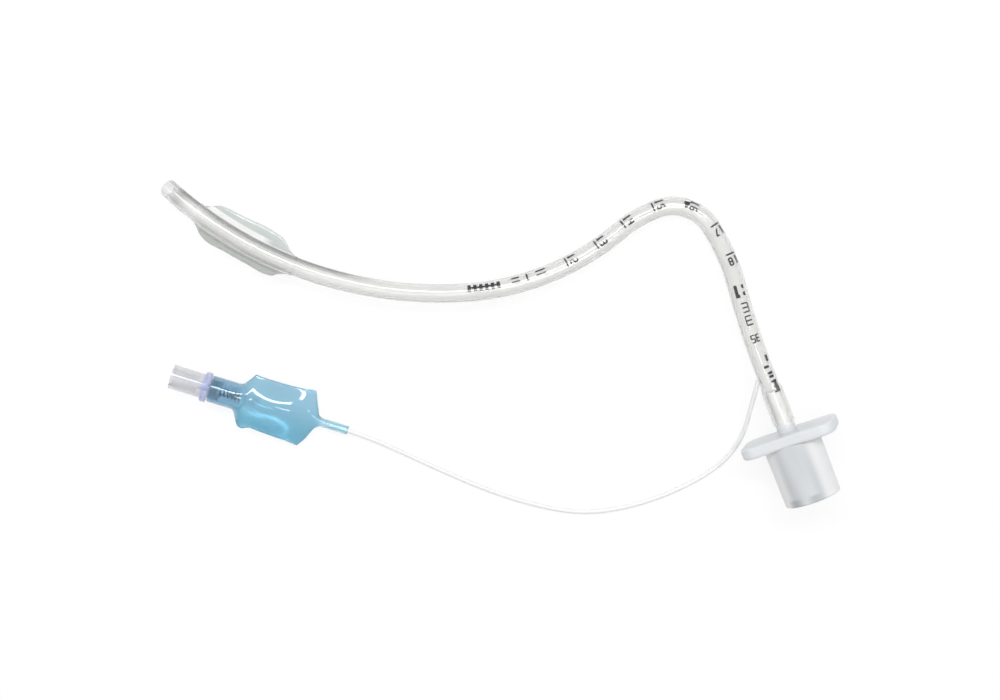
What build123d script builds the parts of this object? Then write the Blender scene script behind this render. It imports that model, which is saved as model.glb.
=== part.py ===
from build123d import *
import math
import os

os.makedirs("parts", exist_ok=True)

# Cuffed tracheal tube, preformed for the nose, lying as it comes to rest
# Millimetres, +Z up, +X from the bevelled tip towards the breathing connector
# Origin: on the surface it lies on, below the middle of the tube, cuff and connector

# Tracheal tube
bore = 3.5
wall = 0.75
toe_x, toe_y = -90.4, 43.1
toe_heading = -43.5
cuff_bend_radius, cuff_bend_angle = 108.0, 47.2
throat_radius, throat_angle = 71.0, 36.4
nose_entry_radius, nose_entry_angle = 34.0, 20.0
nose_radius, nose_angle = 12.0, 77.0
nose_exit_radius, nose_exit_angle = 54.0, 18.0
limb_radius, limb_angle = 238.0, 6.0
limb_straight = 3.0
bevel_angle = 48.0
bevel_round = 0.2
eye_from_toe, eye_length, eye_width = 8.6, 3.6, 2.2
lumen_bore = 0.4
lumen_depth = 0.375
port_into_straight = 1.5

# Cuff, empty and flat: each lobe is its reach along the tube and its width beyond the tube's middle
cuff_film = 0.12
cuff_from_toe, cuff_length = 12.0, 30.0
cuff_collar = 1.6
cuff_pouch_gap = 0.36
lobe_shoulder, lobe_front = 1.3, 4.6
lobe_back, lobe_root = 4.6, 1.0
lobe_start_margin, lobe_root_margin = 0.6, 0.7
lobe_tip_share = 0.6
left_lobe_rise, left_lobe_tip, left_lobe_tail = 5.4, 6.5, 5.9
right_lobe_rise, right_lobe_tip, right_lobe_tail = 5.0, 4.6, 5.0
cuff_hole = 0.5

# Connector: 15 mm cone with a taper of 1 in 40, flange and stem, one moulding
cone_small_end = 15.2
cone_taper = 1 / 40
cone_length = 16.0
cone_wall = 1.3
mouth_round = 0.4
throat_depth, throat_share = 1.2, 0.8
cavity_depth, cavity_share = 3.0, 0.97
flange_width, flange_height, flange_thickness = 26.0, 15.8, 3.2
flange_corner = 3.8
flange_roll_angle = 19.0
neck_diameter, neck_length = 5.1, 2.6
stem_diameter, stem_length = 4.3, 9.0
stem_bore = 3.4
stem_lead = 0.25
tube_flare = 2.5

# Inflation line
line_diameter = 1.25
line_bore = 0.65
line_in_tail, line_before_tail = 6.0, 3.6

# Pilot balloon
balloon_film = 0.2
balloon_neck_start, balloon_neck_end = 11.8, 18.8
pouch_near_half_width, pouch_far_half_width, pouch_waist_half_width = 7.6, 8.2, 7.7
pouch_near, pouch_middle, pouch_far, pouch_closed = 21.7, 30.0, 38.3, 42.2
pouch_near_half_depth = 3.32
pouch_middle_half_depth = 2.9
pouch_far_half_depth = 1.5
tail_diameter, tail_end = 2.4, 49.7

# Valve: lengths run along its axis from the mouth of its luer socket
luer_bore, luer_taper, luer_depth = 4.3, 0.06, 7.4
luer_mouth_diameter, luer_root_diameter = 6.7, 6.6
collar_diameter, collar_start, collar_end = 8.35, 8.7, 10.5
collar_round = 0.5
spigot_diameter, spigot_length = 5.2, 3.2
seat_bore, seat_depth = 1.8, 0.5
slide_clearance = 0.05
seat_gap = 0.02
plunger_reach = 5.4
plunger_flat, plunger_round = 0.62, 0.3
seal_diameter, seal_bore, seal_thickness = 3.0, 1.2, 1.7
plunger_head_diameter, plunger_head_thickness = 2.8, 0.6
spring_guide_diameter, spring_guide_length = 1.3, 2.6
chamber_bore = 3.4
seal_room = 0.3
base_diameter, base_end, base_floor = 6.9, 20.5, 1.2
base_round = 1.7
nozzle_diameter, nozzle_bore, nozzle_length = 3.1, 1.5, 3.9
spring_wire, spring_diameter, spring_turn_count = 0.3, 2.6, 5.5
spring_seat_gap = 0.02

# Where the valve's mouth lies, and the way its axis points
valve_x, valve_y = -88.9, -9.0
valve_heading = -18.2

# Points of the inflation line between the tube's wall and the balloon's tail, chosen by hand
line_points = [
    (67.9, -17.4, 6.2),
    (66.5, -26.2, 2.6),
    (61.2, -34.4, 0.7),
    (49.0, -41.7, 0.65),
    (35.2, -46.5, 0.65),
    (23.0, -48.1, 0.65),
    (10.4, -46.0, 0.65),
    (-3.4, -41.6, 0.65),
    (-18.0, -35.1, 0.65),
    (-29.0, -29.8, 0.9),
]

# Sizes that follow from those above
tube_radius = bore / 2 + wall
lumen_offset = tube_radius - lumen_depth
flare_radius = stem_diameter / 2 + wall
line_radius = line_diameter / 2
cone_large_end = cone_small_end + cone_length * cone_taper
cuff_radius = tube_radius + cuff_film
balloon_neck_diameter = base_diameter + 2 * balloon_film
seat = collar_end + seat_depth
seal_start = seat + seat_gap
head_start = seal_start + seal_thickness
head_end = head_start + plunger_head_thickness
base_bottom = base_end - base_floor
up = Vector(0, 0, 1)


# Shared operations


def turned(outline, rounds=()):
    """A round piece turned about Z, from its half outline of (radius, height) points."""
    face = make_face(Polyline(*outline, close=True))
    for corner, radius in rounds:
        vertex = face.vertices().sort_by_distance(Vector(*corner))[0]
        face = fillet(vertex, radius)
    return revolve(Plane.XZ * face, Axis.Z)


def rod(diameter, start, end):
    """A cylinder on Z between two heights."""
    standing = (Align.CENTER, Align.CENTER, Align.MIN)
    return Pos(0, 0, start) * Cylinder(diameter / 2, end - start, align=standing)


# The tube's middle line, drawn flat before the tube is laid down


def tube_line():
    """Arcs that each go on from the last, from the bevel's toe to the plain straight end."""
    bends = [
        (cuff_bend_radius, cuff_bend_angle),
        (throat_radius, throat_angle),
        (nose_entry_radius, -nose_entry_angle),
        (nose_radius, -nose_angle),
        (nose_exit_radius, -nose_exit_angle),
        (limb_radius, limb_angle),
    ]
    here = Vector(toe_x, toe_y)
    way = Vector(1, 0).rotate(Axis.Z, toe_heading)
    edges = []
    for radius, turn in bends:
        arc = JernArc(start=here, tangent=way, radius=radius, arc_size=turn)
        here, way = arc @ 1, arc % 1
        edges.append(arc)
    edges.append(Line(here, here + way * limb_straight))
    return edges


def frame_at(point, way):
    """A plane across the tube: its X points to the right of the way along the tube, its Y down."""
    return Plane(origin=point, x_dir=way.cross(up), z_dir=way)


def along_cuff(distance, side):
    """A point beside the tube's first bend, at a distance from the toe and out to its left."""
    first = tube_line()[0]
    where = distance / first.length
    left = up.cross(first % where)
    return first @ where + left * side


# How the tube, cuff and connector lie: on the toe, on the nose bend and on one corner of the flange


def lowest_corner():
    """Lowest point of the rolled flange's rear face: across and below the connector's axis."""
    roll = math.radians(flange_roll_angle)
    ear, half = flange_width / 2 - flange_corner, flange_height / 2 - flange_corner
    across = ear * math.cos(roll) - half * math.sin(roll)
    down = ear * math.sin(roll) + half * math.cos(roll) + flange_corner
    return across, down


def resting():
    """The place that tips the flat drawing about the line from the toe to the top of the nose bend."""
    edges = tube_line()
    toe = edges[0] @ 0
    to_centre = edges[3].arc_center - toe
    slope = math.atan2(to_centre.Y, to_centre.X) + math.asin(nose_radius / to_centre.length)
    rest = Vector(math.cos(slope), math.sin(slope))
    way = edges[-1] % 1
    across, down = lowest_corner()
    corner = edges[-1] @ 1 + way * (tube_flare + stem_length + neck_length) + way.cross(up) * across
    lever = rest.cross(corner - toe).length
    lean = math.atan2(down, lever) - math.asin(tube_radius / math.hypot(lever, down))
    hinge = Location(Plane(origin=toe, x_dir=rest, z_dir=up))
    return Pos(0, 0, tube_radius) * hinge * Rot(-math.degrees(lean), 0, 0) * hinge.inverse()


def socket_frame():
    """The plane across the end of the swept tube, where its flare for the stem starts."""
    end = tube_line()[-1]
    return frame_at(end @ 1, end % 1)


def port():
    """The point of the laid tube's wall, on its right, where the inflation line ends in a notch."""
    end = tube_line()[-1]
    across = frame_at(end @ (port_into_straight / limb_straight), end % 1)
    return (resting() * Pos(across.from_local_coords(Vector(tube_radius, 0, 0)))).position


# Tracheal tube


def tracheal_tube():
    edges = tube_line()
    section = Circle(tube_radius) - Circle(bore / 2) - Pos(lumen_offset, 0) * Circle(lumen_bore / 2)
    body = sweep(frame_at(edges[0] @ 0, edges[0] % 0) * section, path=Wire(edges))
    body = bevelled(body)
    body -= murphy_eye()
    body -= cuff_inlet()
    body += socket_frame() * flare()
    return resting() * body - line_notch()


def line_notch():
    """The slanted notch for the end of the inflation line, cut down into the small lumen."""
    start, toward = line_route()[:2]
    return Plane(origin=start, z_dir=toward - start) * rod(line_diameter, 0, 4 * line_diameter)


def bevelled(body):
    """Cut the patient end at a slant that faces up, and take its sharp rims off."""
    first = tube_line()[0]
    toe, way = first @ 0, first % 0
    slant = math.radians(bevel_angle)
    facing = up * math.cos(slant) - way * math.sin(slant)
    cut = Plane(origin=toe - up * tube_radius, x_dir=way.cross(up), z_dir=facing)
    reach = 6 * tube_radius
    body -= cut * Box(reach, reach, reach, align=(Align.CENTER, Align.CENTER, Align.MIN))
    rims = body.faces().filter_by(cut).sort_by(SortBy.AREA)[-1].edges().sort_by(SortBy.LENGTH)
    return fillet(rims[-2:], bevel_round)


def murphy_eye():
    """The oval side hole through the wall that faces the floor."""
    first = tube_line()[0]
    where = eye_from_toe / first.length
    slot = SlotOverall(eye_length, eye_width)
    return Plane(origin=first @ where, x_dir=first % where, z_dir=-up) * extrude(slot, tube_radius * 1.5)


def cuff_inlet():
    """The notch under the cuff that opens the small lumen to it."""
    first = tube_line()[0]
    where = (cuff_from_toe + cuff_length / 2) / first.length
    outward = (first % where).cross(up)
    start = first @ where + outward * lumen_offset
    return Plane(origin=start, z_dir=outward) * rod(cuff_hole, 0, wall)


def flare():
    """The end of the tube, stretched over the connector's stem."""
    taper_end = tube_flare
    end = tube_flare + stem_length
    return turned([
        (bore / 2, 0), (tube_radius, 0), (flare_radius, taper_end), (flare_radius, end),
        (stem_diameter / 2, end), (stem_diameter / 2, taper_end),
    ])


# Cuff


def lobe_outline(side, rise, tip, tail):
    """One flat lobe of the cuff beside the tube: it opens fast near the toe and closes fast at the end."""
    start = cuff_from_toe + cuff_collar / 2
    end = cuff_from_toe + cuff_length - cuff_collar / 2
    rim = Spline(
        along_cuff(start, 0),
        along_cuff(start + lobe_shoulder, side * (tube_radius + lobe_start_margin)),
        along_cuff(start + lobe_front, side * rise),
        along_cuff(start + cuff_length * lobe_tip_share, side * tip),
        along_cuff(end - lobe_back, side * tail),
        along_cuff(end - lobe_root, side * (tube_radius + lobe_root_margin)),
        along_cuff(end, 0),
    )
    return make_face([rim, Line(rim @ 1, rim @ 0)])


def cuff():
    """The film sleeve round the tube, and the two flat lobes of the empty cuff beside it."""
    first = tube_line()[0]
    where = cuff_from_toe / first.length
    here = frame_at(first @ where, first % where)
    run = first.trim(where, (cuff_from_toe + cuff_length) / first.length)
    sleeve = sweep(here * (Circle(cuff_radius) - Circle(tube_radius)), path=run)
    room = sweep(here * Circle(tube_radius), path=run)
    left = lobe_outline(1, left_lobe_rise, left_lobe_tip, left_lobe_tail)
    right = lobe_outline(-1, right_lobe_rise, right_lobe_tip, right_lobe_tail)
    thickness = 2 * cuff_film + cuff_pouch_gap
    lobes = [Pos(0, 0, -thickness / 2) * extrude(lobe, thickness, dir=(0, 0, 1)) for lobe in (left, right)]
    return sleeve + (lobes[0] - room) + (lobes[1] - room)


# Connector


def connector():
    """Stem in the tube, bare neck, flange with its two ears, and the 15 mm cone, in one moulding."""
    flange_front = neck_length + flange_thickness
    mouth = flange_front + cone_length
    stem = turned([
        (0, -stem_length), (stem_diameter / 2 - stem_lead, -stem_length),
        (stem_diameter / 2, stem_lead - stem_length), (stem_diameter / 2, 0),
        (neck_diameter / 2, 0), (neck_diameter / 2, neck_length), (0, neck_length),
    ])
    plate = RectangleRounded(flange_width, flange_height, flange_corner)
    flange = Pos(0, 0, neck_length) * extrude(plate, flange_thickness)
    flange = fillet(flange.edges().filter_by(Plane.XY), flange_thickness / 4)
    cone = turned(
        [(0, neck_length), (cone_large_end / 2, neck_length), (cone_large_end / 2, flange_front),
         (cone_small_end / 2, mouth), (0, mouth)],
        [((cone_small_end / 2, mouth), mouth_round)],
    )
    inside = cone_small_end / 2 - cone_wall
    cavity = turned([
        (0, -stem_length), (stem_bore / 2, -stem_length), (stem_bore / 2, neck_length),
        (inside * throat_share, flange_front + throat_depth),
        (inside * cavity_share, flange_front + cavity_depth), (inside, mouth), (0, mouth),
    ])
    return stem + flange + cone - cavity


def connector_frame():
    """Where the tube's rim ends on the stem, with X along the ears, the right one rolled upward."""
    end = tube_line()[-1]
    way = end % 1
    origin = end @ 1 + way * (tube_flare + stem_length)
    ears = up.cross(way).rotate(Axis((0, 0, 0), way), flange_roll_angle)
    return Plane(origin=origin, x_dir=ears, z_dir=way)


# Inflation line


def valve_frame():
    """The valve's mouth, with Z along its axis: it lies on its collar and on the end of its neck."""
    rest_drop = (collar_diameter - balloon_neck_diameter) / 2
    dip = math.asin(rest_drop / (balloon_neck_end - collar_end))
    flat = Vector(1, 0).rotate(Axis.Z, valve_heading)
    way = flat * math.cos(dip) - up * math.sin(dip)
    mouth_height = collar_diameter / 2 / math.cos(dip) + collar_end * math.sin(dip)
    return Plane(origin=(valve_x, valve_y, mouth_height), x_dir=up.cross(way), z_dir=way)


def line_route():
    """From the notch in the tube's wall, over the floor, into the balloon's tail."""
    tail = valve_frame()
    inside = tail.from_local_coords(Vector(0, 0, tail_end - line_in_tail))
    outside = tail.from_local_coords(Vector(0, 0, tail_end + line_before_tail))
    return [port()] + [Vector(*p) for p in line_points] + [outside, inside]


def bend_radii(points):
    """The largest radius at each corner that leaves both of its runs a straight tenth."""
    radii = []
    for before, corner, after in zip(points, points[1:], points[2:]):
        turn = math.radians((corner - before).get_angle(after - corner))
        shorter = min((corner - before).length, (after - corner).length)
        radii.append(0.45 * shorter / math.tan(turn / 2))
    return radii


def inflation_line():
    points = line_route()
    radii = bend_radii(points)
    print("line radii", [round(radius, 1) for radius in radii])
    print("line runs", [round((b - a).length, 1) for a, b in zip(points, points[1:])])
    print("line points", [tuple(round(c, 2) for c in p) for p in points])
    path = FilletPolyline(*points, radius=radii)
    section = Circle(line_radius) - Circle(line_bore / 2)
    body = sweep(Plane(origin=path @ 0, z_dir=path % 0) * section, path=path)
    expected = section.area * path.length
    print(f"line length {path.length:.1f}, volume {body.volume:.1f}, section by length {expected:.1f}")
    return body


# Pilot balloon


def lens(half_width, half_depth, height):
    """One section of the pouch: two arcs that meet in a crease at each side."""
    left, right = (-half_width, 0), (half_width, 0)
    top = ThreePointArc(left, (0, half_depth), right)
    bottom = ThreePointArc(right, (0, -half_depth), left)
    return Pos(0, 0, height) * make_face([top, bottom])


def pouch(inset):
    """The pillow of film between the neck and the tail, or its inside when it is set in."""
    neck = balloon_neck_diameter / 2 - inset
    tail = tail_diameter / 2 - inset
    sections = [
        lens(neck, neck, balloon_neck_end),
        lens(pouch_near_half_width - inset, pouch_near_half_depth - inset, pouch_near),
        lens(pouch_waist_half_width - inset, pouch_middle_half_depth - inset, pouch_middle),
        lens(pouch_far_half_width - inset, pouch_far_half_depth - inset, pouch_far),
        lens(tail, tail, pouch_closed),
    ]
    return loft(sections)


def pilot_balloon():
    neck = rod(balloon_neck_diameter, balloon_neck_start, balloon_neck_end)
    tail = rod(tail_diameter, pouch_closed, tail_end)
    body = neck + pouch(0) + tail
    body -= rod(base_diameter, balloon_neck_start, balloon_neck_end)
    body -= pouch(balloon_film)
    return body - rod(line_diameter, pouch_closed, tail_end)


# Valve


def valve_housing():
    """Luer socket, collar and the spigot that carries the seat."""
    mouth = luer_bore / 2
    deep = mouth - luer_depth * luer_taper / 2
    guide = seat_bore / 2
    spigot_end = collar_end + spigot_length
    chamber = seal_diameter / 2 + seal_room
    return turned(
        [(mouth, 0), (luer_mouth_diameter / 2, 0), (luer_root_diameter / 2, collar_start),
         (collar_diameter / 2, collar_start), (collar_diameter / 2, collar_end),
         (spigot_diameter / 2, collar_end), (spigot_diameter / 2, spigot_end),
         (chamber, spigot_end), (chamber, seat), (guide, seat),
         (guide, luer_depth), (deep, luer_depth)],
        [((collar_diameter / 2, height), collar_round) for height in (collar_start, collar_end)],
    )


def valve_base():
    """The cup behind the collar that holds the spring, with the nozzle that opens into the balloon."""
    spigot_end = collar_end + spigot_length
    nozzle_end = base_end + nozzle_length
    return turned(
        [(spigot_diameter / 2, collar_end), (base_diameter / 2, collar_end), (base_diameter / 2, base_end),
         (nozzle_diameter / 2, base_end), (nozzle_diameter / 2, nozzle_end), (nozzle_bore / 2, nozzle_end),
         (nozzle_bore / 2, base_bottom), (chamber_bore / 2, base_bottom), (chamber_bore / 2, spigot_end),
         (spigot_diameter / 2, spigot_end)],
        [((base_diameter / 2, base_end), base_round)],
    )


def valve_plunger():
    """The core: a tip in the luer socket, the groove of the seal, a head and a guide for the spring."""
    tip = seat_bore / 2 - slide_clearance
    guide_end = head_end + spring_guide_length
    body = turned(
        [(0, plunger_reach), (tip, plunger_reach), (tip, seal_start), (seal_bore / 2, seal_start),
         (seal_bore / 2, head_start), (plunger_head_diameter / 2, head_start),
         (plunger_head_diameter / 2, head_end), (spring_guide_diameter / 2, head_end),
         (spring_guide_diameter / 2, guide_end), (0, guide_end)],
        [((tip, plunger_reach), plunger_round)],
    )
    air_way = Pos(plunger_flat, 0, plunger_reach) * Box(
        tip, 2 * tip, seal_start - plunger_reach, align=(Align.MIN, Align.CENTER, Align.MIN))
    for turn in range(3):
        body -= Rot(0, 0, 120 * turn) * air_way
    return body


def valve_seal():
    outer, inner = seal_diameter / 2, seal_bore / 2
    ring = rod(seal_diameter, seal_start, head_start) - rod(seal_bore, seal_start, head_start)
    return fillet(ring.edges().filter_by(GeomType.CIRCLE).group_by(SortBy.RADIUS)[-1], (outer - inner) / 3)


def valve_spring():
    start = head_end + spring_wire / 2 + spring_seat_gap
    end = base_bottom - spring_wire / 2 - spring_seat_gap
    coil_radius = (spring_diameter - spring_wire) / 2
    coil = Helix(pitch=(end - start) / spring_turn_count, height=end - start, radius=coil_radius)
    wire = Plane(origin=coil @ 0, z_dir=coil % 0) * Circle(spring_wire / 2)
    return Pos(0, 0, start) * sweep(wire, path=coil, is_frenet=True)


def main():
    connector_place = resting() * Location(connector_frame())
    valve_place = Location(valve_frame())
    parts = {
        "tracheal_tube": tracheal_tube(),
        "cuff": resting() * cuff(),
        "connector": connector_place * connector(),
        "inflation_line": inflation_line(),
        "pilot_balloon": valve_place * pilot_balloon(),
        "valve_housing": valve_place * valve_housing(),
        "valve_base": valve_place * valve_base(),
        "valve_plunger": valve_place * valve_plunger(),
        "valve_seal": valve_place * valve_seal(),
        "valve_spring": valve_place * valve_spring(),
    }
    for name, piece in parts.items():
        export_step(piece, f"parts/{name}.step")
        box = piece.bounding_box()
        print(name, round(piece.volume, 2), [round(v, 2) for v in (*box.min, *box.max)])


if __name__ == "__main__":
    main()
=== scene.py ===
import math

import bmesh
import bpy
from mathutils import Matrix, Vector


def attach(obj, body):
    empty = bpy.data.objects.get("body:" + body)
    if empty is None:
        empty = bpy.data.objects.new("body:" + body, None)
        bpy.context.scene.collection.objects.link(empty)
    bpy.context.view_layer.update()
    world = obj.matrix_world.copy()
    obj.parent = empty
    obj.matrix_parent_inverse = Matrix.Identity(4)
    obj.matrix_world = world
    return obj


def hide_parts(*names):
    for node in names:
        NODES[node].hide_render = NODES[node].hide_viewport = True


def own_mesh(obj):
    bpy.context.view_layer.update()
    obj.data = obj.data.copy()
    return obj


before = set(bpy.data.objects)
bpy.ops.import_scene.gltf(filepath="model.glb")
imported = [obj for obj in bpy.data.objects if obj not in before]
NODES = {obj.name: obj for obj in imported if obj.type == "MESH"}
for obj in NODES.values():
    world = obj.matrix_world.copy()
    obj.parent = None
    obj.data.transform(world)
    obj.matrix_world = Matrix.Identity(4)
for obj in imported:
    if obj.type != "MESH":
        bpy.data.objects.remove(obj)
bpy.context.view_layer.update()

UP = Vector((0, 0, 1))

# Tracheal tube, in metres, with the sizes of the part's source
TUBE_RADIUS, BORE_RADIUS = 0.0025, 0.00175
LUMEN_RADIUS, LUMEN_OFFSET, LUMEN_START, LUMEN_END_WALL = 0.0002, 0.002125, 0.027, 0.0015
RIM_ROUND, BEVEL_REACH = 0.00022, 0.009
FINE_STEP, PLAIN_STEP = 0.00045, 0.0011
TOE, TOE_HEADING = Vector((-0.0904, 0.0431, 0)), -43.5
BENDS = [(0.108, 47.2), (0.071, 36.4), (0.034, -20.0), (0.012, -77.0), (0.054, -18.0), (0.238, 6.0)]
STRAIGHT = 0.003
BEVEL_SLOPE = 1 / math.tan(math.radians(48))
FLARE, STEM, STEM_RADIUS, STEM_FIT = 0.0025, 0.009, 0.00215, 0.00001
EYE_FROM_TOE, EYE_LENGTH, EYE_WIDTH = 0.0086, 0.0036, 0.0022
REST_HEADING, LEAN = -2.60607, 7.48786

# Connector: the middle of its rim on the tube's side, and the ways across and along its axis
CONNECTOR_MIDDLE = Vector((0.0763353, -0.0207324, 0.0098848))
CONNECTOR_ACROSS = Vector((0.883907, 0.379528, 0.273253))
CONNECTOR_WAY = Vector((0.360352, -0.925154, 0.11932))

# Cuff: (distance from the toe, reach from the tube's middle) of each lobe's edge
CUFF_START, CUFF_END = 0.012, 0.042
CUFF_FILM, CUFF_GAP, CUFF_HALF_HEIGHT = 0.00007, 0.00005, 0.00014
LEFT_LOBE = [
    (0.0130, 0.00262), (0.0145, 0.0036), (0.0158, 0.0046), (0.0172, 0.0053), (0.0190, 0.00565),
    (0.0240, 0.0060), (0.0305, 0.0065), (0.0349, 0.0061), (0.0375, 0.0051), (0.0392, 0.0036),
    (0.0410, 0.00262),
]
RIGHT_LOBE = [
    (0.0130, 0.00262), (0.0143, 0.0031), (0.0156, 0.0040), (0.0174, 0.0047), (0.0193, 0.0050),
    (0.0239, 0.00465), (0.0300, 0.0047), (0.0350, 0.0050), (0.0372, 0.0047), (0.0390, 0.0034),
    (0.0410, 0.00262),
]

# Inflation line: the route of the part's source
LINE_RADIUS, LINE_LENGTH = 0.000625, 0.1437
PORT = (0.06932, -0.0096, 0.00846)
LINE_POINTS = [
    PORT,
    (0.0679, -0.0174, 0.0062),
    (0.0665, -0.0262, 0.0026),
    (0.0612, -0.0344, 0.0007),
    (0.0490, -0.0417, 0.00065),
    (0.0352, -0.0465, 0.00065),
    (0.0230, -0.0481, 0.00065),
    (0.0104, -0.0460, 0.00065),
    (-0.0034, -0.0416, 0.00065),
    (-0.0180, -0.0351, 0.00065),
    (-0.0290, -0.0298, 0.0009),
    (-0.03837, -0.02561, 0.00148),
    (-0.04747, -0.02262, 0.00208),
]

# Valve and pilot balloon, along the valve's axis from its mouth
VALVE_MOUTH = Vector((-0.0889, -0.009, 0.00484753))
VALVE_ACROSS = Vector((0.312335, 0.949972, 0))
VALVE_WAY = Vector((0.94807, -0.311709, -0.063253))
BALLOON_FILM = 0.0002
BALLOON_NECK_START, BALLOON_NECK_END = 0.0109, 0.0178
BALLOON_CLOSED, BALLOON_TAIL_END = 0.0422, 0.0497
GROOVE_DEPTH, GROOVE_MIDDLE, GROOVE_WIDTH = 0.00012, 0.0002, 0.0004

# The film's reach to the left, to the right, above and below the axis, as (distance, reach) pairs
BALLOON_LEFT = [
    (0.0178, 0.00365), (0.0186, 0.0038), (0.0194, 0.0044), (0.0203, 0.0055), (0.0211, 0.0067),
    (0.02155, 0.00735), (0.0220, 0.00736), (0.0229, 0.00722), (0.0260, 0.00721), (0.0310, 0.00731),
    (0.0352, 0.00758), (0.0376, 0.0080), (0.0381, 0.00805), (0.0384, 0.0078), (0.0391, 0.0062),
    (0.0402, 0.0036), (0.0412, 0.0016), (0.0422, 0.0012),
]
BALLOON_RIGHT = [
    (0.0178, 0.00375), (0.0184, 0.0042), (0.0195, 0.0061), (0.0204, 0.0075), (0.0209, 0.0079),
    (0.0218, 0.00808), (0.0230, 0.0076), (0.0241, 0.0073), (0.0259, 0.00748), (0.0299, 0.00768),
    (0.0343, 0.00788), (0.0371, 0.00812), (0.0376, 0.0081), (0.0383, 0.0072), (0.0392, 0.0058),
    (0.0400, 0.0039), (0.0408, 0.0022), (0.0422, 0.0012),
]
BALLOON_TOP = [
    (0.0178, 0.00365), (0.0196, 0.0035), (0.0206, 0.0032), (0.0225, 0.0027), (0.0250, 0.0030),
    (0.0290, 0.0035), (0.0325, 0.0031), (0.0355, 0.0021), (0.0380, 0.0012), (0.0400, 0.0009),
    (0.0410, 0.0010), (0.0422, 0.0012),
]
BALLOON_BASE = [
    (0.0178, 0.00365), (0.0196, 0.0034), (0.0206, 0.0030), (0.0225, 0.0025), (0.0250, 0.0027),
    (0.0285, 0.0029), (0.0320, 0.0025), (0.0355, 0.0017), (0.0380, 0.0011), (0.0400, 0.0009),
    (0.0410, 0.0010), (0.0422, 0.0012),
]
BALLOON_TABLES = (BALLOON_LEFT, BALLOON_RIGHT, BALLOON_TOP, BALLOON_BASE)


class Socket:
    """One output of a shader node: arithmetic on it adds Math nodes to its tree."""

    def __init__(self, nodes, output):
        self.nodes = nodes
        self.output = output

    def maths(self, operation, *values):
        return self.nodes.node("ShaderNodeMath", {"operation": operation}, dict(enumerate(values)))

    def __add__(self, other):
        return self.maths("ADD", self, other)

    def __sub__(self, other):
        return self.maths("SUBTRACT", self, other)

    def __rsub__(self, other):
        return self.maths("SUBTRACT", other, self)

    def __mul__(self, other):
        return self.maths("MULTIPLY", self, other)

    __radd__ = __add__
    __rmul__ = __mul__

    def cosine(self):
        return self.maths("COSINE", self)

    def without_sign(self):
        return self.maths("ABSOLUTE", self)

    def larger(self, other):
        return self.maths("MAXIMUM", self, other)

    def between(self, low, high):
        """0 below the first value, 1 above the second, and smooth from one to the other."""
        values = {"Value": self, "From Min": low, "From Max": high}
        return self.nodes.node("ShaderNodeMapRange", {"interpolation_type": "SMOOTHSTEP"}, values)


class Nodes:
    """A tree whose nodes are added by their kind, with settings first, then values or links."""

    def __init__(self, tree):
        self.tree = tree

    def node(self, kind, settings=None, values=None, output=0):
        node = self.tree.nodes.new(kind)
        for name, setting in (settings or {}).items():
            setattr(node, name, setting)
        for name, value in (values or {}).items():
            self.feed(node.inputs[name], value)
        return Socket(self, node.outputs[output])

    def feed(self, socket, value):
        if isinstance(value, Socket):
            self.tree.links.new(value.output, socket)
        else:
            socket.default_value = value

    def vector_maths(self, operation, first, second, output=0):
        return self.node("ShaderNodeVectorMath", {"operation": operation}, {0: first, 1: second}, output)

    def part_of(self, vector, axis):
        return self.node("ShaderNodeSeparateXYZ", {}, {0: vector}, axis)

    def ray(self, kind):
        """1 for rays of one kind, such as Is Camera Ray."""
        return self.node("ShaderNodeLightPath", output=kind)


class Finish(Nodes):
    """A material with one surface shader."""

    def __init__(self, name):
        self.material = bpy.data.materials.new(name)
        self.material.use_nodes = True
        super().__init__(self.material.node_tree)
        self.surface = self.tree.nodes["Principled BSDF"]
        self.end = self.tree.nodes["Material Output"]

    def set(self, **values):
        """The shader's inputs, named with underscores for spaces."""
        for name, value in values.items():
            self.feed(self.surface.inputs[name.replace("_", " ")], value)

    def place(self):
        """The piece's own coordinates, in metres."""
        return self.node("ShaderNodeTexCoord", output="Object")

    def noise(self, scale, detail=2.0):
        return self.node("ShaderNodeTexNoise", {}, {"Vector": self.place(), "Scale": scale, "Detail": detail})

    def mixed(self, share, low, high):
        """A colour between two, each written as red, green and blue, by a share from 0 to 1."""
        low, high = (colour if isinstance(colour, Socket) else (*colour, 1) for colour in (low, high))
        return self.node("ShaderNodeMix", {"data_type": "RGBA"}, {"Factor": share, 6: low, 7: high}, 2)

    def bumped(self, height, distance):
        return self.node("ShaderNodeBump", {}, {"Height": height, "Distance": distance})

    def measured_from(self, origin, way):
        """Distance from a point along a direction."""
        off = self.vector_maths("SUBTRACT", self.place(), origin)
        return self.vector_maths("DOT_PRODUCT", off, way, "Value")

    def left_of_tip_bend(self):
        """How far a point lies to the left of the tube's middle line, on the bend nearest the tip."""
        off = self.vector_maths("DISTANCE", self.place(), LAID @ bend_centre(0), "Value")
        return BENDS[0][0] - off

    def ends_with(self, share, first, second):
        """The surface becomes a mix of two shaders."""
        both = self.node("ShaderNodeMixShader", {}, {0: share, 1: first, 2: second})
        self.feed(self.end.inputs["Surface"], both)

    def let_through(self, share, lamps, tint=(1, 1, 1)):
        """Plain transparency mixed in: one share of it for the eye, and another for the lamps."""
        clear = self.node("ShaderNodeBsdfTransparent", {}, {"Color": (*tint, 1)})
        shader = Socket(self, self.surface.outputs[0])
        self.ends_with(self.ray("Is Shadow Ray") * (lamps - share) + share, shader, clear)


# Finishes


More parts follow.
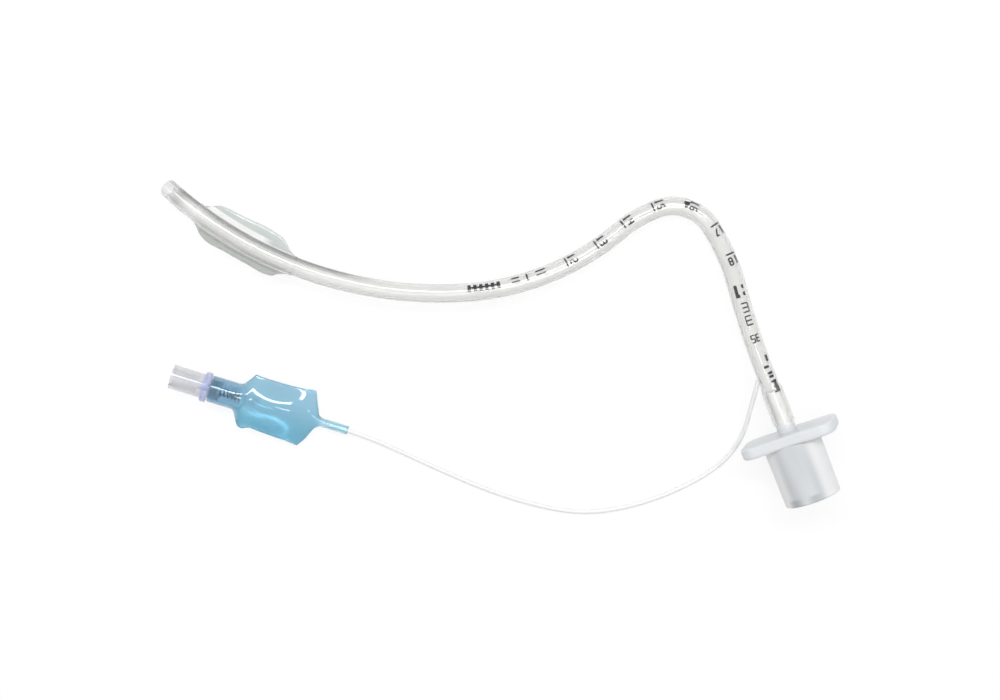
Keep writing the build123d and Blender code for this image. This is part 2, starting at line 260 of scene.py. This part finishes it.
def clear_pvc():
    """Clear soft PVC with faint waves from the die, greyer and more see-through near the tip, and a dark line
    down the tip's bend.
    """
    paint = Finish("clear_pvc")
    waves = paint.noise(260.0)
    past_bend = paint.part_of(paint.place(), "X").between(-0.046, -0.030)
    line = paint.left_of_tip_bend().between(0.0016, 0.0021) * (1.0 - past_bend)
    toe, after = beside(0, 0), beside(0.004, 0)
    back = paint.measured_from(toe, (after - toe).normalized())
    body = paint.mixed(back.between(0.004, 0.011), (0.68, 0.68, 0.68), (0.875, 0.875, 0.865))
    paint.set(Base_Color=paint.mixed(line, body, (0.30, 0.31, 0.31)), Roughness=0.10 + waves * 0.06)
    paint.set(Transmission_Weight=0.9, IOR=1.5, Normal=paint.bumped(waves, 0.00002))
    paint.let_through((1.0 - back.between(0.0040, 0.0060)) * 0.5, lamps=0.7)
    return paint.material


def cuff_film():
    """Thin film: clear on the tube, grey green in its two lobes, and left white in a strip beside the tube as
    a painted highlight.
    """
    paint = Finish("cuff_film")
    waves = paint.noise(420.0)
    left = paint.left_of_tip_bend()
    x = paint.part_of(paint.place(), "X")
    # a painted highlight: over this stretch the left lobe stays white beside the tube, where the film curving
    # up from the tube would catch the light
    highlight_band = x.between(-0.0785, -0.0775) * (1.0 - x.between(-0.0640, -0.0600))
    left_lobe = left.between(0.0026, 0.0028) * (1.0 - highlight_band * (1.0 - left.between(0.0037, 0.0042)))
    right_lobe = (left * -1.0).between(0.0024, 0.0029)
    tint = paint.mixed(left_lobe, (0.99, 0.99, 0.985), (0.77, 0.80, 0.79))
    folds = (left * 8200.0).cosine() * right_lobe + waves
    paint.set(Base_Color=paint.mixed(right_lobe, tint, (0.66, 0.68, 0.66)), Roughness=0.05 + waves * 0.05)
    paint.set(Transmission_Weight=1.0, IOR=1.15, Coat_Weight=0.6, Normal=paint.bumped(folds, 0.00008))
    paint.let_through(0.15, lamps=0.7)
    return paint.material


def waves_across(distance, period):
    """A wave between -1 and 1 over a distance."""
    return (distance * (2 * math.pi / period)).cosine()


def frosted_plastic():
    """Frosted polypropylene: soft painted stripes of light and shade and painted lighter sides on the barrel,
    two spots of painted shade at its mouth.
    """
    paint = Finish("frosted_plastic")
    grain = paint.noise(1800.0)
    cloud = paint.noise(90.0)
    across = paint.measured_from(CONNECTOR_MIDDLE, CONNECTOR_ACROSS)
    out = paint.measured_from(CONNECTOR_MIDDLE, CONNECTOR_WAY)
    on_barrel = out.between(0.0045, 0.0060)
    # painted light and shade: soft stripes across the barrel that stand in for the shading of the frosted
    # cylinder
    painted_light_bands = waves_across(across + 0.0033 - out * 0.17, 0.0075)
    # painted light: the barrel's sides are made lighter, as if lit through the frosted wall
    sides = across.without_sign().between(0.0034, 0.0058) * on_barrel
    middle_only = across.between(-0.0062, -0.0052) * (1.0 - across.between(0.0038, 0.0048))
    # painted shade: two darker spots at the mouth, standing in for the opening's shadow seen through the wall
    painted_shade_patches = (0.5 - waves_across(across + 0.00085, 0.0055) * 0.5) * middle_only * out.between(0.0194, 0.0202)
    light = cloud * 0.3 + painted_light_bands * 0.35 + 0.35
    barrel = paint.mixed(light, (0.64, 0.665, 0.69), (0.755, 0.775, 0.795))
    barrel = paint.mixed(sides, barrel, (0.97, 0.975, 0.98))
    plate = paint.mixed(out.between(-0.0010, 0.0020), (0.97, 0.975, 0.98), (0.83, 0.855, 0.88))
    colour = paint.mixed(on_barrel, plate, barrel)
    paint.set(Base_Color=paint.mixed(painted_shade_patches, colour, (0.50, 0.52, 0.54)), Roughness=0.30 + grain * 0.12)
    paint.set(Transmission_Weight=0.25, IOR=1.4, Normal=paint.bumped(grain, 0.00002))
    return paint.material


def line_pvc():
    """Pale, slightly milky PVC of the thin line."""
    paint = Finish("line_pvc")
    waves = paint.noise(300.0)
    paint.set(Base_Color=(0.86, 0.865, 0.86, 1), Roughness=0.25 + waves * 0.1)
    paint.set(Transmission_Weight=0.1, IOR=1.45)
    return paint.material


def blue_film():
    """Blue tinted glossy film with painted shading: lighter on the pouch's left, the side toward the lamps,
    greyer on its neck and paler on its tail.
    """
    paint = Finish("blue_film")
    waves = paint.noise(300.0)
    # painted shading: the pouch is lighter on the side toward the lamps and darker away from them, with
    # random waves
    painted_shade_and_waves = paint.measured_from(VALVE_MOUTH, VALVE_ACROSS).between(-0.007, 0.006) * 0.85 + waves * 0.15
    out = paint.measured_from(VALVE_MOUTH, VALVE_WAY)
    pouch = paint.mixed(painted_shade_and_waves, (0.38, 0.64, 0.75), (0.62, 0.79, 0.88))
    pouch = paint.mixed(out.between(0.0175, 0.0200), (0.50, 0.68, 0.80), pouch)
    paint.set(Base_Color=paint.mixed(out.between(0.0410, 0.0425), pouch, (0.64, 0.80, 0.86)))
    paint.set(Roughness=0.08 + waves * 0.06, Transmission_Weight=1.0, IOR=1.2, Coat_Weight=1.0)
    paint.set(Normal=paint.bumped(waves, 0.0001))
    paint.let_through(0.15, lamps=0.8, tint=(0.70, 0.85, 0.91))
    return paint.material


def clear_plastic(name, tint, haze, clear, bending, gloss):
    """Clear moulded plastic, lilac at the valve's collar."""
    paint = Finish(name)
    waves = paint.noise(500.0)
    out = paint.measured_from(VALVE_MOUTH, VALVE_WAY)
    collar = out.between(0.0080, 0.0088) * (1.0 - out.between(0.0104, 0.0110))
    paint.set(Base_Color=paint.mixed(collar, tint, (0.52, 0.57, 0.78)), Roughness=0.06 + waves * 0.06)
    paint.set(Transmission_Weight=1 - haze, IOR=bending, Coat_Weight=gloss)
    paint.set(Normal=paint.bumped(waves, 0.00005))
    paint.let_through(clear, lamps=0.8)
    return paint.material


def white_plastic():
    paint = Finish("white_plastic")
    paint.set(Base_Color=(0.82, 0.84, 0.86, 1), Roughness=0.35 + paint.noise(2500.0) * 0.15)
    return paint.material


def black_rubber():
    paint = Finish("black_rubber")
    grain = paint.noise(3000.0, 3.0)
    paint.set(Base_Color=(0.004, 0.005, 0.009, 1), Roughness=0.45 + grain * 0.25, Specular_IOR_Level=0.2)
    paint.set(Normal=paint.bumped(grain, 0.00002))
    return paint.material


def spring_steel():
    paint = Finish("spring_steel")
    paint.set(Base_Color=(0.16, 0.165, 0.19, 1), Roughness=0.22 + paint.noise(4000.0) * 0.12, Metallic=1.0)
    return paint.material


def black_ink():
    """Glossy black ink, slightly worn."""
    paint = Finish("black_ink")
    wear = paint.noise(2200.0, 3.0).between(0.25, 0.75)
    paint.set(Base_Color=paint.mixed(wear, (0.012, 0.012, 0.014), (0.05, 0.05, 0.055)))
    paint.set(Roughness=0.12, Coat_Weight=1.0)
    return paint.material


# Meshes


def piece(name, points, faces, material, sharp=40.0):
    """An object from points and faces, smooth but for edges that bend by more than the sharp angle."""
    mesh = bpy.data.meshes.new(name)
    mesh.from_pydata(points, [], faces)
    shape = bmesh.new()
    shape.from_mesh(mesh)
    bmesh.ops.remove_doubles(shape, verts=shape.verts, dist=0.000002)
    for face in shape.faces:
        face.smooth = True
    for edge in shape.edges:
        edge.smooth = edge.calc_face_angle(0) < math.radians(sharp)
    shape.to_mesh(mesh)
    shape.free()
    mesh.materials.append(material)
    item = bpy.data.objects.new(name, mesh)
    bpy.context.scene.collection.objects.link(item)
    return item


def grid_faces(rows, columns, joined=False, start=0):
    """Faces of a grid whose rows are closed rings; with joined, the last row meets the first."""
    faces = []
    for row in range(rows if joined else rows - 1):
        here, there = start + row * columns, start + (row + 1) % rows * columns
        for column in range(columns):
            after = (column + 1) % columns
            faces.append((here + column, here + after, there + after, there + column))
    return faces


def rod_faces(rows, columns, start=0):
    """Faces of a solid rod: the wall between its rings, and its two ends."""
    last = start + rows * columns
    ends = [tuple(range(start + columns - 1, start - 1, -1)), tuple(range(last - columns, last))]
    return grid_faces(rows, columns, start=start) + ends


def turns_round(count):
    """The angles of evenly spaced points on a circle."""
    return [2 * math.pi * step / count for step in range(count)]


def smoothly(share):
    """0 to 1 with a gentle start and end."""
    share = min(1.0, max(0.0, share))
    return share * share * (3 - 2 * share)


def spread(first, last, steps):
    """Evenly spaced values from the first to the last."""
    return [first + (last - first) * step / steps for step in range(steps + 1)]


def along(table, distance):
    """A smooth value between the (distance, value) pairs of a table, never beyond its neighbours."""
    slopes = [(b[1] - a[1]) / (b[0] - a[0]) for a, b in zip(table, table[1:])]
    bends = [2 * a * b / (a + b) if a * b > 0 else 0.0 for a, b in zip(slopes, slopes[1:])]
    bends = [slopes[0], *bends, slopes[-1]]
    if distance <= table[0][0]:
        return table[0][1]
    for (low, first), (high, last), leaving, arriving in zip(table, table[1:], bends, bends[1:]):
        if distance <= high:
            t = (distance - low) / (high - low)
            rise = (leaving * (1 - t) - arriving * t) * t * (1 - t) * (high - low)
            return first + (last - first) * smoothly(t) + rise
    return table[-1][1]


# The tube's middle line


def bend_starts():
    """Where each bend starts: distance along the tube, point, heading in degrees, radius and turn."""
    starts = []
    distance, here, heading = 0.0, TOE.copy(), TOE_HEADING
    for radius, turn in BENDS:
        starts.append((distance, here, heading, radius, turn))
        here = on_bend(here, heading, radius, turn, 1.0)[0]
        distance += radius * math.radians(abs(turn))
        heading += turn
    starts.append((distance, here, heading, None, 0.0))
    return starts


def heading_way(heading):
    return Matrix.Rotation(math.radians(heading), 3, "Z") @ Vector((1, 0, 0))


def on_bend(start, heading, radius, turn, share):
    """The point and way at a share of one bend."""
    side = math.copysign(1, turn)
    way = heading_way(heading)
    to_centre = Matrix.Rotation(math.radians(90 * side), 3, "Z") @ way * radius
    round_it = Matrix.Rotation(math.radians(turn * share), 3, "Z")
    return start + to_centre - round_it @ to_centre, round_it @ way


def bend_centre(bend):
    """The middle of the circle that a bend of the flat tube follows."""
    here, heading, radius, turn = STARTS[bend][1:]
    return here + UP.cross(heading_way(heading)) * math.copysign(radius, turn)


STARTS = bend_starts()
SWEPT = STARTS[-1][0] + STRAIGHT
TUBE_END = SWEPT + FLARE + STEM


def middle(distance):
    """The flat tube's middle and way at a distance from the toe."""
    begin, here, heading, radius, turn = [start for start in STARTS if start[0] <= max(distance, 0)][-1]
    if radius is None:
        way = heading_way(heading)
        return here + way * (distance - begin), way
    return on_bend(here, heading, radius, turn, (distance - begin) / (radius * math.radians(abs(turn))))


HINGE = Matrix.Translation(TOE) @ Matrix.Rotation(math.radians(REST_HEADING), 4, "Z")
LEANED = HINGE @ Matrix.Rotation(math.radians(-LEAN), 4, "X") @ HINGE.inverted()
LAID = Matrix.Translation((0, 0, TUBE_RADIUS)) @ LEANED


def beside(distance, across, height=0.0):
    """A point of the laid tube's space: along it, out to its left and up from its middle."""
    here, way = middle(distance)
    return LAID @ (here + UP.cross(way) * across + UP * height)


def around(distance, radius, angle):
    """A point round the tube's middle, the angle counted from its left side over its top."""
    return beside(distance, radius * math.cos(angle), radius * math.sin(angle))


# Tracheal tube


def outer_radius(distance):
    return TUBE_RADIUS + smoothly((distance - SWEPT) / FLARE) * (STEM_RADIUS - BORE_RADIUS)


def inner_radius(distance):
    return BORE_RADIUS + smoothly((distance - SWEPT) / FLARE) * (STEM_RADIUS + STEM_FIT - BORE_RADIUS)


def tube_distances():
    """Ring places along the tube, closer together at the tip, in the tight bend and at the flare."""
    places, here = [], 0.0
    while here < TUBE_END:
        places.append(here)
        tight = STARTS[3][0] - 0.002 < here < STARTS[4][0] + 0.002
        at_ends = here < 0.006 or here > SWEPT - 0.001
        here += FINE_STEP if tight or at_ends else PLAIN_STEP
    return places + [TUBE_END]


def slant(radius, angle):
    """How far the bevel cuts the wall back from the toe at a radius and an angle."""
    return (radius * math.sin(angle) + TUBE_RADIUS) * BEVEL_SLOPE


def slanted(distance, radius, angle):
    """A ring place moved back near the tip, so that the first rings lie on the bevel."""
    return distance + slant(radius, angle) * max(0.0, 1 - distance / BEVEL_REACH)


def rounded_corner(before, corner, after, steps=4):
    """Points of a small round from one point to another about a corner, all (radius, distance)."""
    points = []
    for step in range(steps + 1):
        t = step / steps
        points.append(before * (1 - t) ** 2 + corner * (2 * t * (1 - t)) + after * t * t)
    return points


def clear_tube():
    """The extruded tube: bevelled tip with rounded rims, bore, small lumen in its wall, and flared end."""
    angles = turns_round(72)
    profiles = []
    for angle in angles:
        outside = [Vector((outer_radius(d), slanted(d, TUBE_RADIUS, angle))) for d in tube_distances()]
        inside = [Vector((inner_radius(d), slanted(d, BORE_RADIUS, angle))) for d in tube_distances()]
        lip, edge = outside[0], inside[0]
        face = (edge - lip).normalized()
        run = Vector((0, 1))
        tip = rounded_corner(edge + run * RIM_ROUND, edge, edge - face * RIM_ROUND)
        tip += rounded_corner(lip + face * RIM_ROUND, lip, lip + run * RIM_ROUND)
        back, deep = outside[-1], inside[-1]
        down = Vector((-1, 0))
        end = rounded_corner(back - run * RIM_ROUND, back, back + down * RIM_ROUND)
        end += rounded_corner(deep - down * RIM_ROUND, deep, deep - run * RIM_ROUND)
        profiles.append(tip + outside[1:-1] + end + inside[-2:0:-1])
    rows = len(profiles[0])
    points = [around(profile[row].y, profile[row].x, angle)
              for row in range(rows) for profile, angle in zip(profiles, angles)]
    faces = grid_faces(rows, len(angles), joined=True)
    lumen_points, lumen_faces = small_lumen(len(points))
    tube = piece("clear_tube", points + lumen_points, faces + lumen_faces, CLEAR_PVC)
    cut_away(tube, side_eye())
    cut_away(tube, line_notch())
    return tube


def small_lumen(first, ring=12, step=0.0005):
    """The small lumen in the tube's wall, closed before the cuff and before the flare."""
    points = []
    begin, end = round(LUMEN_START / step), round((SWEPT - LUMEN_END_WALL) / step)
    places = [step * count for count in range(begin, end)]
    for distance in places:
        for turn in turns_round(ring):
            across = LUMEN_RADIUS * math.cos(-turn) - LUMEN_OFFSET
            points.append(beside(distance, across, LUMEN_RADIUS * math.sin(-turn)))
    return points, rod_faces(len(places), ring, first)


def side_eye(ring=40):
    """The oval hole near the tip, through the wall that faces the floor."""
    straight = EYE_LENGTH - EYE_WIDTH
    inside, below = -0.0006, -1.5 * TUBE_RADIUS
    points = []
    for height in (inside, below):
        for angle in turns_round(ring):
            shift = math.copysign(straight / 2, math.cos(angle))
            ahead = EYE_WIDTH / 2 * math.cos(angle) + shift
            points.append(beside(EYE_FROM_TOE + ahead, EYE_WIDTH / 2 * math.sin(angle), height))
    return piece("side_eye", points, rod_faces(2, ring), CLEAR_PVC)


def line_notch(ring=32):
    """The slanted notch that takes the end of the inflation line."""
    start, toward = Vector(LINE_POINTS[0]), Vector(LINE_POINTS[1])
    turn = (toward - start).to_track_quat("Z", "Y")
    points = []
    for height in (0, 8 * LINE_RADIUS):
        for angle in turns_round(ring):
            spot = Vector((LINE_RADIUS * math.cos(angle), LINE_RADIUS * math.sin(angle), height))
            points.append(start + turn @ spot)
    return piece("line_notch", points, rod_faces(2, ring), CLEAR_PVC)


def cut_away(item, cutter):
    """Takes one piece's room out of another."""
    cut = item.modifiers.new("cut", "BOOLEAN")
    cut.operation = "DIFFERENCE"
    cut.solver = "EXACT"
    cut.object = cutter
    applied(item)
    bpy.data.objects.remove(cutter)


# Print on the tube: fields, strokes and plain numbers, over its left side and its top


def stroke(begin, end, width, last_width=None):
    """One stroke of ink between two (distance, angle) places, with the widths of its ends."""
    last_width = last_width or width
    run = Vector((end[0] - begin[0], (end[1] - begin[1]) * TUBE_RADIUS))
    side = Vector((-run.y, run.x)).normalized() / 2
    steps = max(2, round(run.length / 0.0002))
    rows = []
    for step in range(steps + 1):
        share = step / steps
        here = Vector((begin[0], begin[1] * TUBE_RADIUS)) + run * share
        half = side * (width + (last_width - width) * share)
        rows.append([here - half, here - half / 3, here + half / 3, here + half])
    return rows


def bars(places, low, high, width):
    """Strokes round the tube at several distances."""
    return [stroke((place, math.radians(low)), (place, math.radians(high)), width) for place in places]


def lengthwise(begin, end, angle, width):
    """A stroke along the tube at one angle."""
    return stroke((begin, math.radians(angle)), (end, math.radians(angle)), width)


def number(text, distance, angles, width, ink):
    """Digits of straight strokes, their tops toward the connector, each at its own angle round the tube."""
    lines = []
    half = width / 2 / TUBE_RADIUS
    for digit, angle in zip(text, angles):
        middle_angle = math.radians(angle)
        for name in DIGIT_STROKES[digit]:
            begin, end = [(distance + (y - 0.5) * DIGIT_HEIGHT, middle_angle + (2 * x - 1) * half)
                          for x, y in STROKES[name]]
            lines.append(stroke(begin, end, ink * BOLD if digit == "1" else ink))
    return lines


DIGIT_HEIGHT, PAST_BAR, BAR_WIDTH, BOLD = 0.0019, 0.0020, 0.00045, 1.6
STROKES = {
    "top": ((0, 1), (1, 1)), "bar": ((0, 0.5), (1, 0.5)), "foot": ((0, 0), (1, 0)),
    "stem": ((0.5, 0), (0.5, 1)),
    "upper left": ((0, 0.5), (0, 1)), "upper right": ((1, 0.5), (1, 1)),
    "lower left": ((0, 0), (0, 0.5)), "lower right": ((1, 0), (1, 0.5)), "slant": ((0, 0), (1, 1)),
    "dot": ((0.4, 0.05), (0.6, 0.05)),
}
DIGIT_STROKES = {
    "1": ["stem", "foot"],
    "2": ["top", "upper right", "bar", "lower left", "foot"],
    "3": ["top", "upper right", "bar", "lower right", "foot"],
    "4": ["upper left", "bar", "upper right", "lower right"],
    "5": ["top", "upper left", "bar", "lower right", "foot"],
    "6": ["top", "upper left", "bar", "lower left", "lower right", "foot"],
    "7": ["top", "slant"],
    "8": ["top", "bar", "foot", "upper left", "upper right", "lower left", "lower right"],
    ".": ["dot"],
}
DEPTHS = {"12": 0.11725, "13": 0.12655, "14": 0.1356, "15": 0.14465, "16": 0.1534, "17": 0.16225,
          "18": 0.1709}
BOLD_DEPTH = "16"


def depth_marks():
    """A bar round the tube and a number beside it at every depth; one depth has a bold drop."""
    lines = []
    for text, distance in DEPTHS.items():
        if text == BOLD_DEPTH:
            top, waist, foot = ((distance, math.radians(angle)) for angle in (52, 74, 98))
            lines += [stroke(top, waist, 0.0015, 0.0014), stroke(waist, foot, 0.0010, 0.0005)]
        else:
            lines += bars([distance], 34, 101, BAR_WIDTH)
        lines += number(text, distance + PAST_BAR, (45, 86), width=0.00085, ink=0.00042)
    return lines


def size_marks():
    """The bold field, the plain bars that stand for words, and the size of the bore."""
    lines = [lengthwise(0.1794, 0.1828, 112, 0.0009)]
    lines += bars([0.1824], 96, 112, 0.0009)
    lines += bars([0.1800, 0.1820], 58, 74, 0.0010)
    lines += bars([0.1845 + 0.0012 * step for step in range(6)], 66, 104, 0.0004)
    lines += [lengthwise(0.1845, 0.1869, 66, 0.0003), lengthwise(0.1881, 0.1905, 104, 0.0003)]
    lines += number("3.5", 0.1944, (66, 82, 98), width=0.0009, ink=0.00036)
    lines += bars([0.1997, 0.2003, 0.2009], 44, 66, 0.00055)
    lines += bars([0.2026], 62, 96, 0.0007)
    lines += bars([0.2044, 0.2054], 52, 84, 0.0007)
    lines += [lengthwise(0.2064, 0.2098, 58, 0.0011)]
    lines += bars([0.2068, 0.2082, 0.2096], 58, 84, 0.0005)
    return lines


def word_bars():
    """Plain bars where the tube's other words are printed, nearer its tip."""
    lines = bars([0.0899 + 0.0016 * step for step in range(6)], 42, 88, 0.0009)
    lines += [lengthwise(0.0899, 0.0979, 64, 0.0005)]
    for angle in (46, 76):
        lines += [lengthwise(0.1016, 0.1038, angle, 0.0006), lengthwise(0.1084, 0.1112, angle, 0.0006)]
    lines += bars([0.1059], 38, 88, 0.0005)
    return lines


def printed_marks():
    """All the ink as one thin raised layer on the tube's wall."""
    points, faces = [], []
    sunk, raised = TUBE_RADIUS - 0.00002, TUBE_RADIUS + 0.000012
    reaches = [sunk, raised, raised, raised, raised, sunk]
    for rows in depth_marks() + size_marks() + word_bars():
        first = len(points)
        for row in rows:
            ring = [row[0], *row, row[-1]]
            points += [around(spot.x, reach, spot.y / TUBE_RADIUS) for spot, reach in zip(ring, reaches)]
        faces += rod_faces(len(rows), len(reaches), first)
    return piece("printed_marks", points, faces, black_ink(), sharp=60.0)


# Cuff


def quarter(radius, height, steps):
    """Points of a quarter of an ellipse, from its top down to its side, without the top."""
    turns = [math.pi / 2 * step / steps for step in range(1, steps + 1)]
    return [(radius * math.sin(turn), height * math.cos(turn)) for turn in turns]


def cuff_section(left, right):
    """Half a section of the film, from its right edge over the tube to its left edge: (across, up) pairs."""
    skin = TUBE_RADIUS + CUFF_FILM + CUFF_GAP
    sides = []
    for reach, side in ((right, -1), (left, 1)):
        foot = min(reach, skin + 0.0009)
        lean = math.acos(min(1.0, skin / max(foot, skin + 1e-9)))
        over_tube = [(skin * math.cos(turn), skin * math.sin(turn)) for turn in spread(lean, math.pi / 2, 14)]
        low = min(CUFF_HALF_HEIGHT, max(0.0, reach - skin))
        seam_width, seam_height = 2.0 * low, 1.8 * low
        inner = max(foot, reach - seam_width)
        flat = [(x, low) for x in spread(foot, inner, 9)[:-1]] + [(inner, seam_height)]
        edge = [(inner + x, z) for x, z in quarter(reach - inner, seam_height, 4)]
        points = list(reversed(edge)) + list(reversed(flat)) + over_tube
        sides.append([(side * x, z) for x, z in points])
    return sides[0] + list(reversed(sides[1]))[1:]


def empty_cuff():
    """The thin film sleeve, drawn flat onto the tube, with one flat lobe on each side."""
    places = spread(CUFF_START, CUFF_END, 120)
    rings = []
    for distance in places:
        left, right = along(LEFT_LOBE, distance), along(RIGHT_LOBE, distance)
        top = cuff_section(left, right)
        rings.append([(x, z) for x, z in top] + [(x, -z) for x, z in reversed(top[1:-1])])
    columns = len(rings[0])
    points = [beside(distance, across, up) for distance, ring in zip(places, rings) for across, up in ring]
    cuff = piece("cuff_film", points, grid_faces(len(places), columns), CUFF_SHEET)
    thicken(cuff, CUFF_FILM)
    return cuff


def thicken(item, thickness):
    """Give a sheet its thickness, on the inside."""
    solid = item.modifiers.new("film", "SOLIDIFY")
    solid.thickness = thickness
    solid.offset = -1
    applied(item)


def applied(item):
    """Make an object's modifiers its mesh."""
    graph = bpy.context.evaluated_depsgraph_get()
    mesh = bpy.data.meshes.new_from_object(item.evaluated_get(graph))
    item.modifiers.clear()
    item.data = mesh


# Pilot balloon


def on_valve(across, height, distance):
    """A point about the valve's axis."""
    up = VALVE_WAY.cross(VALVE_ACROSS)
    return VALVE_MOUTH + VALVE_ACROSS * across + up * height + VALVE_WAY * distance


def pillow_section(left, right, top, base, groove, columns):
    """A closed section of the pouch: round where it is as wide as deep, creased at its sides where wider."""
    points = []
    for angle in turns_round(columns):
        reach = left if math.cos(angle) > 0 else right
        depth = top if math.sin(angle) > 0 else base
        crease = smoothly((reach - depth) / depth)
        across = reach * math.cos(angle)
        share = max(0.0, 1 - (across / reach) ** 2)
        height = depth * share ** (0.5 + 0.9 * crease)
        if math.sin(angle) > 0:
            height -= groove * math.exp(-((across - GROOVE_MIDDLE) / GROOVE_WIDTH) ** 2)
        at_edge = abs(math.sin(angle)) < 1e-9
        points.append((across, 0.0 if at_edge else math.copysign(height, math.sin(angle))))
    return points


def pilot_pouch():
    """Blue film: a sleeve over the valve's base, a pillow with four drawn out corners, and a narrow tail."""
    places = spread(BALLOON_NECK_START, BALLOON_NECK_END, 20)[:-1]
    places += spread(BALLOON_NECK_END, BALLOON_CLOSED, 122) + spread(BALLOON_CLOSED, BALLOON_TAIL_END, 12)[1:]
    points = []
    columns = 96
    for distance in places:
        sides = [along(table, distance) for table in BALLOON_TABLES]
        groove = GROOVE_DEPTH * smoothly((distance - 0.025) / 0.005) * smoothly((0.0415 - distance) / 0.004)
        for across, height in pillow_section(*sides, groove, columns):
            points.append(on_valve(across, height, distance))
    balloon = piece("pilot_film", points, grid_faces(len(places), columns), BLUE_FILM)
    thicken(balloon, BALLOON_FILM)
    return balloon


# Inflation line


def pilot_line():
    """The thin line's route as one smooth curve with the line's thickness."""
    curve = bpy.data.curves.new("pilot_line", "CURVE")
    curve.dimensions = "3D"
    spline = curve.splines.new("NURBS")
    spline.points.add(len(LINE_POINTS) - 1)
    for point, place in zip(spline.points, LINE_POINTS):
        point.co = (*place, 1)
    spline.order_u = 3
    spline.use_endpoint_u = True
    spline.resolution_u = 16
    curve.bevel_depth = LINE_RADIUS
    curve.bevel_resolution = 6
    curve.use_fill_caps = True
    curve.materials.append(LINE_PVC)
    item = bpy.data.objects.new("pilot_line", curve)
    bpy.context.scene.collection.objects.link(item)
    return item


# Studio


def floor():
    """Plain pale floor: white to the camera, and through clear plastic, but for the object's soft shadow."""
    paint = Finish("pale_floor")
    through = paint.ray("Is Glossy Ray").larger(paint.ray("Is Transmission Ray"))
    far = paint.vector_maths("DISTANCE", paint.place(), (0, 0, 0), "Value").between(0.16, 0.45)
    seen = paint.ray("Is Camera Ray") * (0.85 + far * 0.15)
    colour = paint.mixed(far, (0.94, 0.94, 0.94), (0.12, 0.12, 0.12))
    plain = paint.node("ShaderNodeBsdfDiffuse", {}, {"Color": colour})
    white = paint.node("ShaderNodeEmission", {}, {"Color": (1, 1, 1, 1), "Strength": 1.0})
    paint.ends_with(seen.larger(through * (0.9 - far * 0.9)), plain, white)
    half, level = 1.5, -0.00002
    points = [(-half, -half, level), (half, -half, level), (half, half, level), (-half, half, level)]
    item = piece("floor", points, [(0, 1, 2, 3)], paint.material)


def softbox(name, place, aim, size, power):
    """A rectangular light of a size in metres and a power in watts."""
    light = bpy.data.lights.new(name, "AREA")
    light.shape = "RECTANGLE"
    light.size, light.size_y = size
    light.energy = power
    item = bpy.data.objects.new(name, light)
    item.location = place
    item.rotation_euler = (Vector(aim) - Vector(place)).to_track_quat("-Z", "Y").to_euler()
    bpy.context.scene.collection.objects.link(item)


def studio():
    """Soft light from behind and above, and a room that is darker near the floor."""
    floor()
    softbox("key_light", place=(0.02, 0.42, 0.72), aim=(0, 0, 0), size=(0.80, 0.12), power=3.9)
    softbox("top_light", place=(0.15, -0.06, 0.78), aim=(0.06, 0, 0), size=(0.06, 0.34), power=0.85)
    softbox("side_light", place=(-0.6, 0.25, 0.45), aim=(0, 0, 0), size=(0.15, 0.4), power=0.5)
    world = bpy.data.worlds.new("soft_room")
    bpy.context.scene.world = world
    world.use_nodes = True
    room = Nodes(world.node_tree)
    height = room.part_of(room.node("ShaderNodeTexCoord", output="Generated"), "Z")
    level = height.between(0.0, 0.75) * 0.60 + 0.10
    background = world.node_tree.nodes["Background"]
    background.inputs["Color"].default_value = (1, 1, 1, 1)
    room.feed(background.inputs["Strength"], room.ray("Is Camera Ray").larger(level))


# Camera, its lens given in the photograph's pixels
HALF_PHOTO_WIDTH, LENS_LENGTH = 500, 1472
CAMERA_PLACE, CAMERA_TILT = (0, 0.05357, 0.39861), -8


def camera():
    """The photograph's view, from 400 mm above the part."""
    lens = bpy.data.cameras.new("camera")
    lens.sensor_fit = "HORIZONTAL"
    lens.angle = 2 * math.atan(HALF_PHOTO_WIDTH / LENS_LENGTH)
    lens.clip_start = 0.01
    item = bpy.data.objects.new("camera", lens)
    item.location = CAMERA_PLACE
    item.rotation_euler = (math.radians(CAMERA_TILT), 0, 0)
    bpy.context.scene.collection.objects.link(item)
    bpy.context.scene.camera = item


CLEAR_PVC = clear_pvc()
CUFF_SHEET = cuff_film()
BLUE_FILM = blue_film()
LINE_PVC = line_pvc()


def dress(node, finish):
    """Gives a solid its finish."""
    NODES[node].data.materials.clear()
    NODES[node].data.materials.append(finish)


def spring_shortens(spring):
    """The coil keeps its shape and gets a mesh of its own; its reach along the valve is measured but not
    used.
    """
    reaches = [(point.co - VALVE_MOUTH).dot(VALVE_WAY) for point in spring.data.vertices]
    start, end = min(reaches), max(reaches)
    on_valve(0, 0, end)
    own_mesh(spring)


def main():
    camera()
    studio()

    line = pilot_line()
    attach(line, "root")
    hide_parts("inflation_line")

    tube = clear_tube()
    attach(tube, "root")
    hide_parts("tracheal_tube")

    marks = printed_marks()
    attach(marks, "root")

    cuff = empty_cuff()
    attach(cuff, "root")
    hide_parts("cuff")

    balloon = pilot_pouch()
    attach(balloon, "root")
    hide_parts("pilot_balloon")

    dress("connector", frosted_plastic())
    dress("valve_housing", clear_plastic("clear_plastic", (0.70, 0.705, 0.73),
                                         haze=0.28, clear=0.05, bending=1.25, gloss=0.8))
    dress("valve_base", clear_plastic("clear_plastic_base", (0.90, 0.91, 0.94),
                                      haze=0.0, clear=0.4, bending=1.08, gloss=0.2))
    dress("valve_plunger", white_plastic())
    dress("valve_seal", black_rubber())
    dress("valve_spring", spring_steel())

    spring_shortens(NODES["valve_spring"])

    bpy.context.scene.view_settings.view_transform = "Standard"


main()
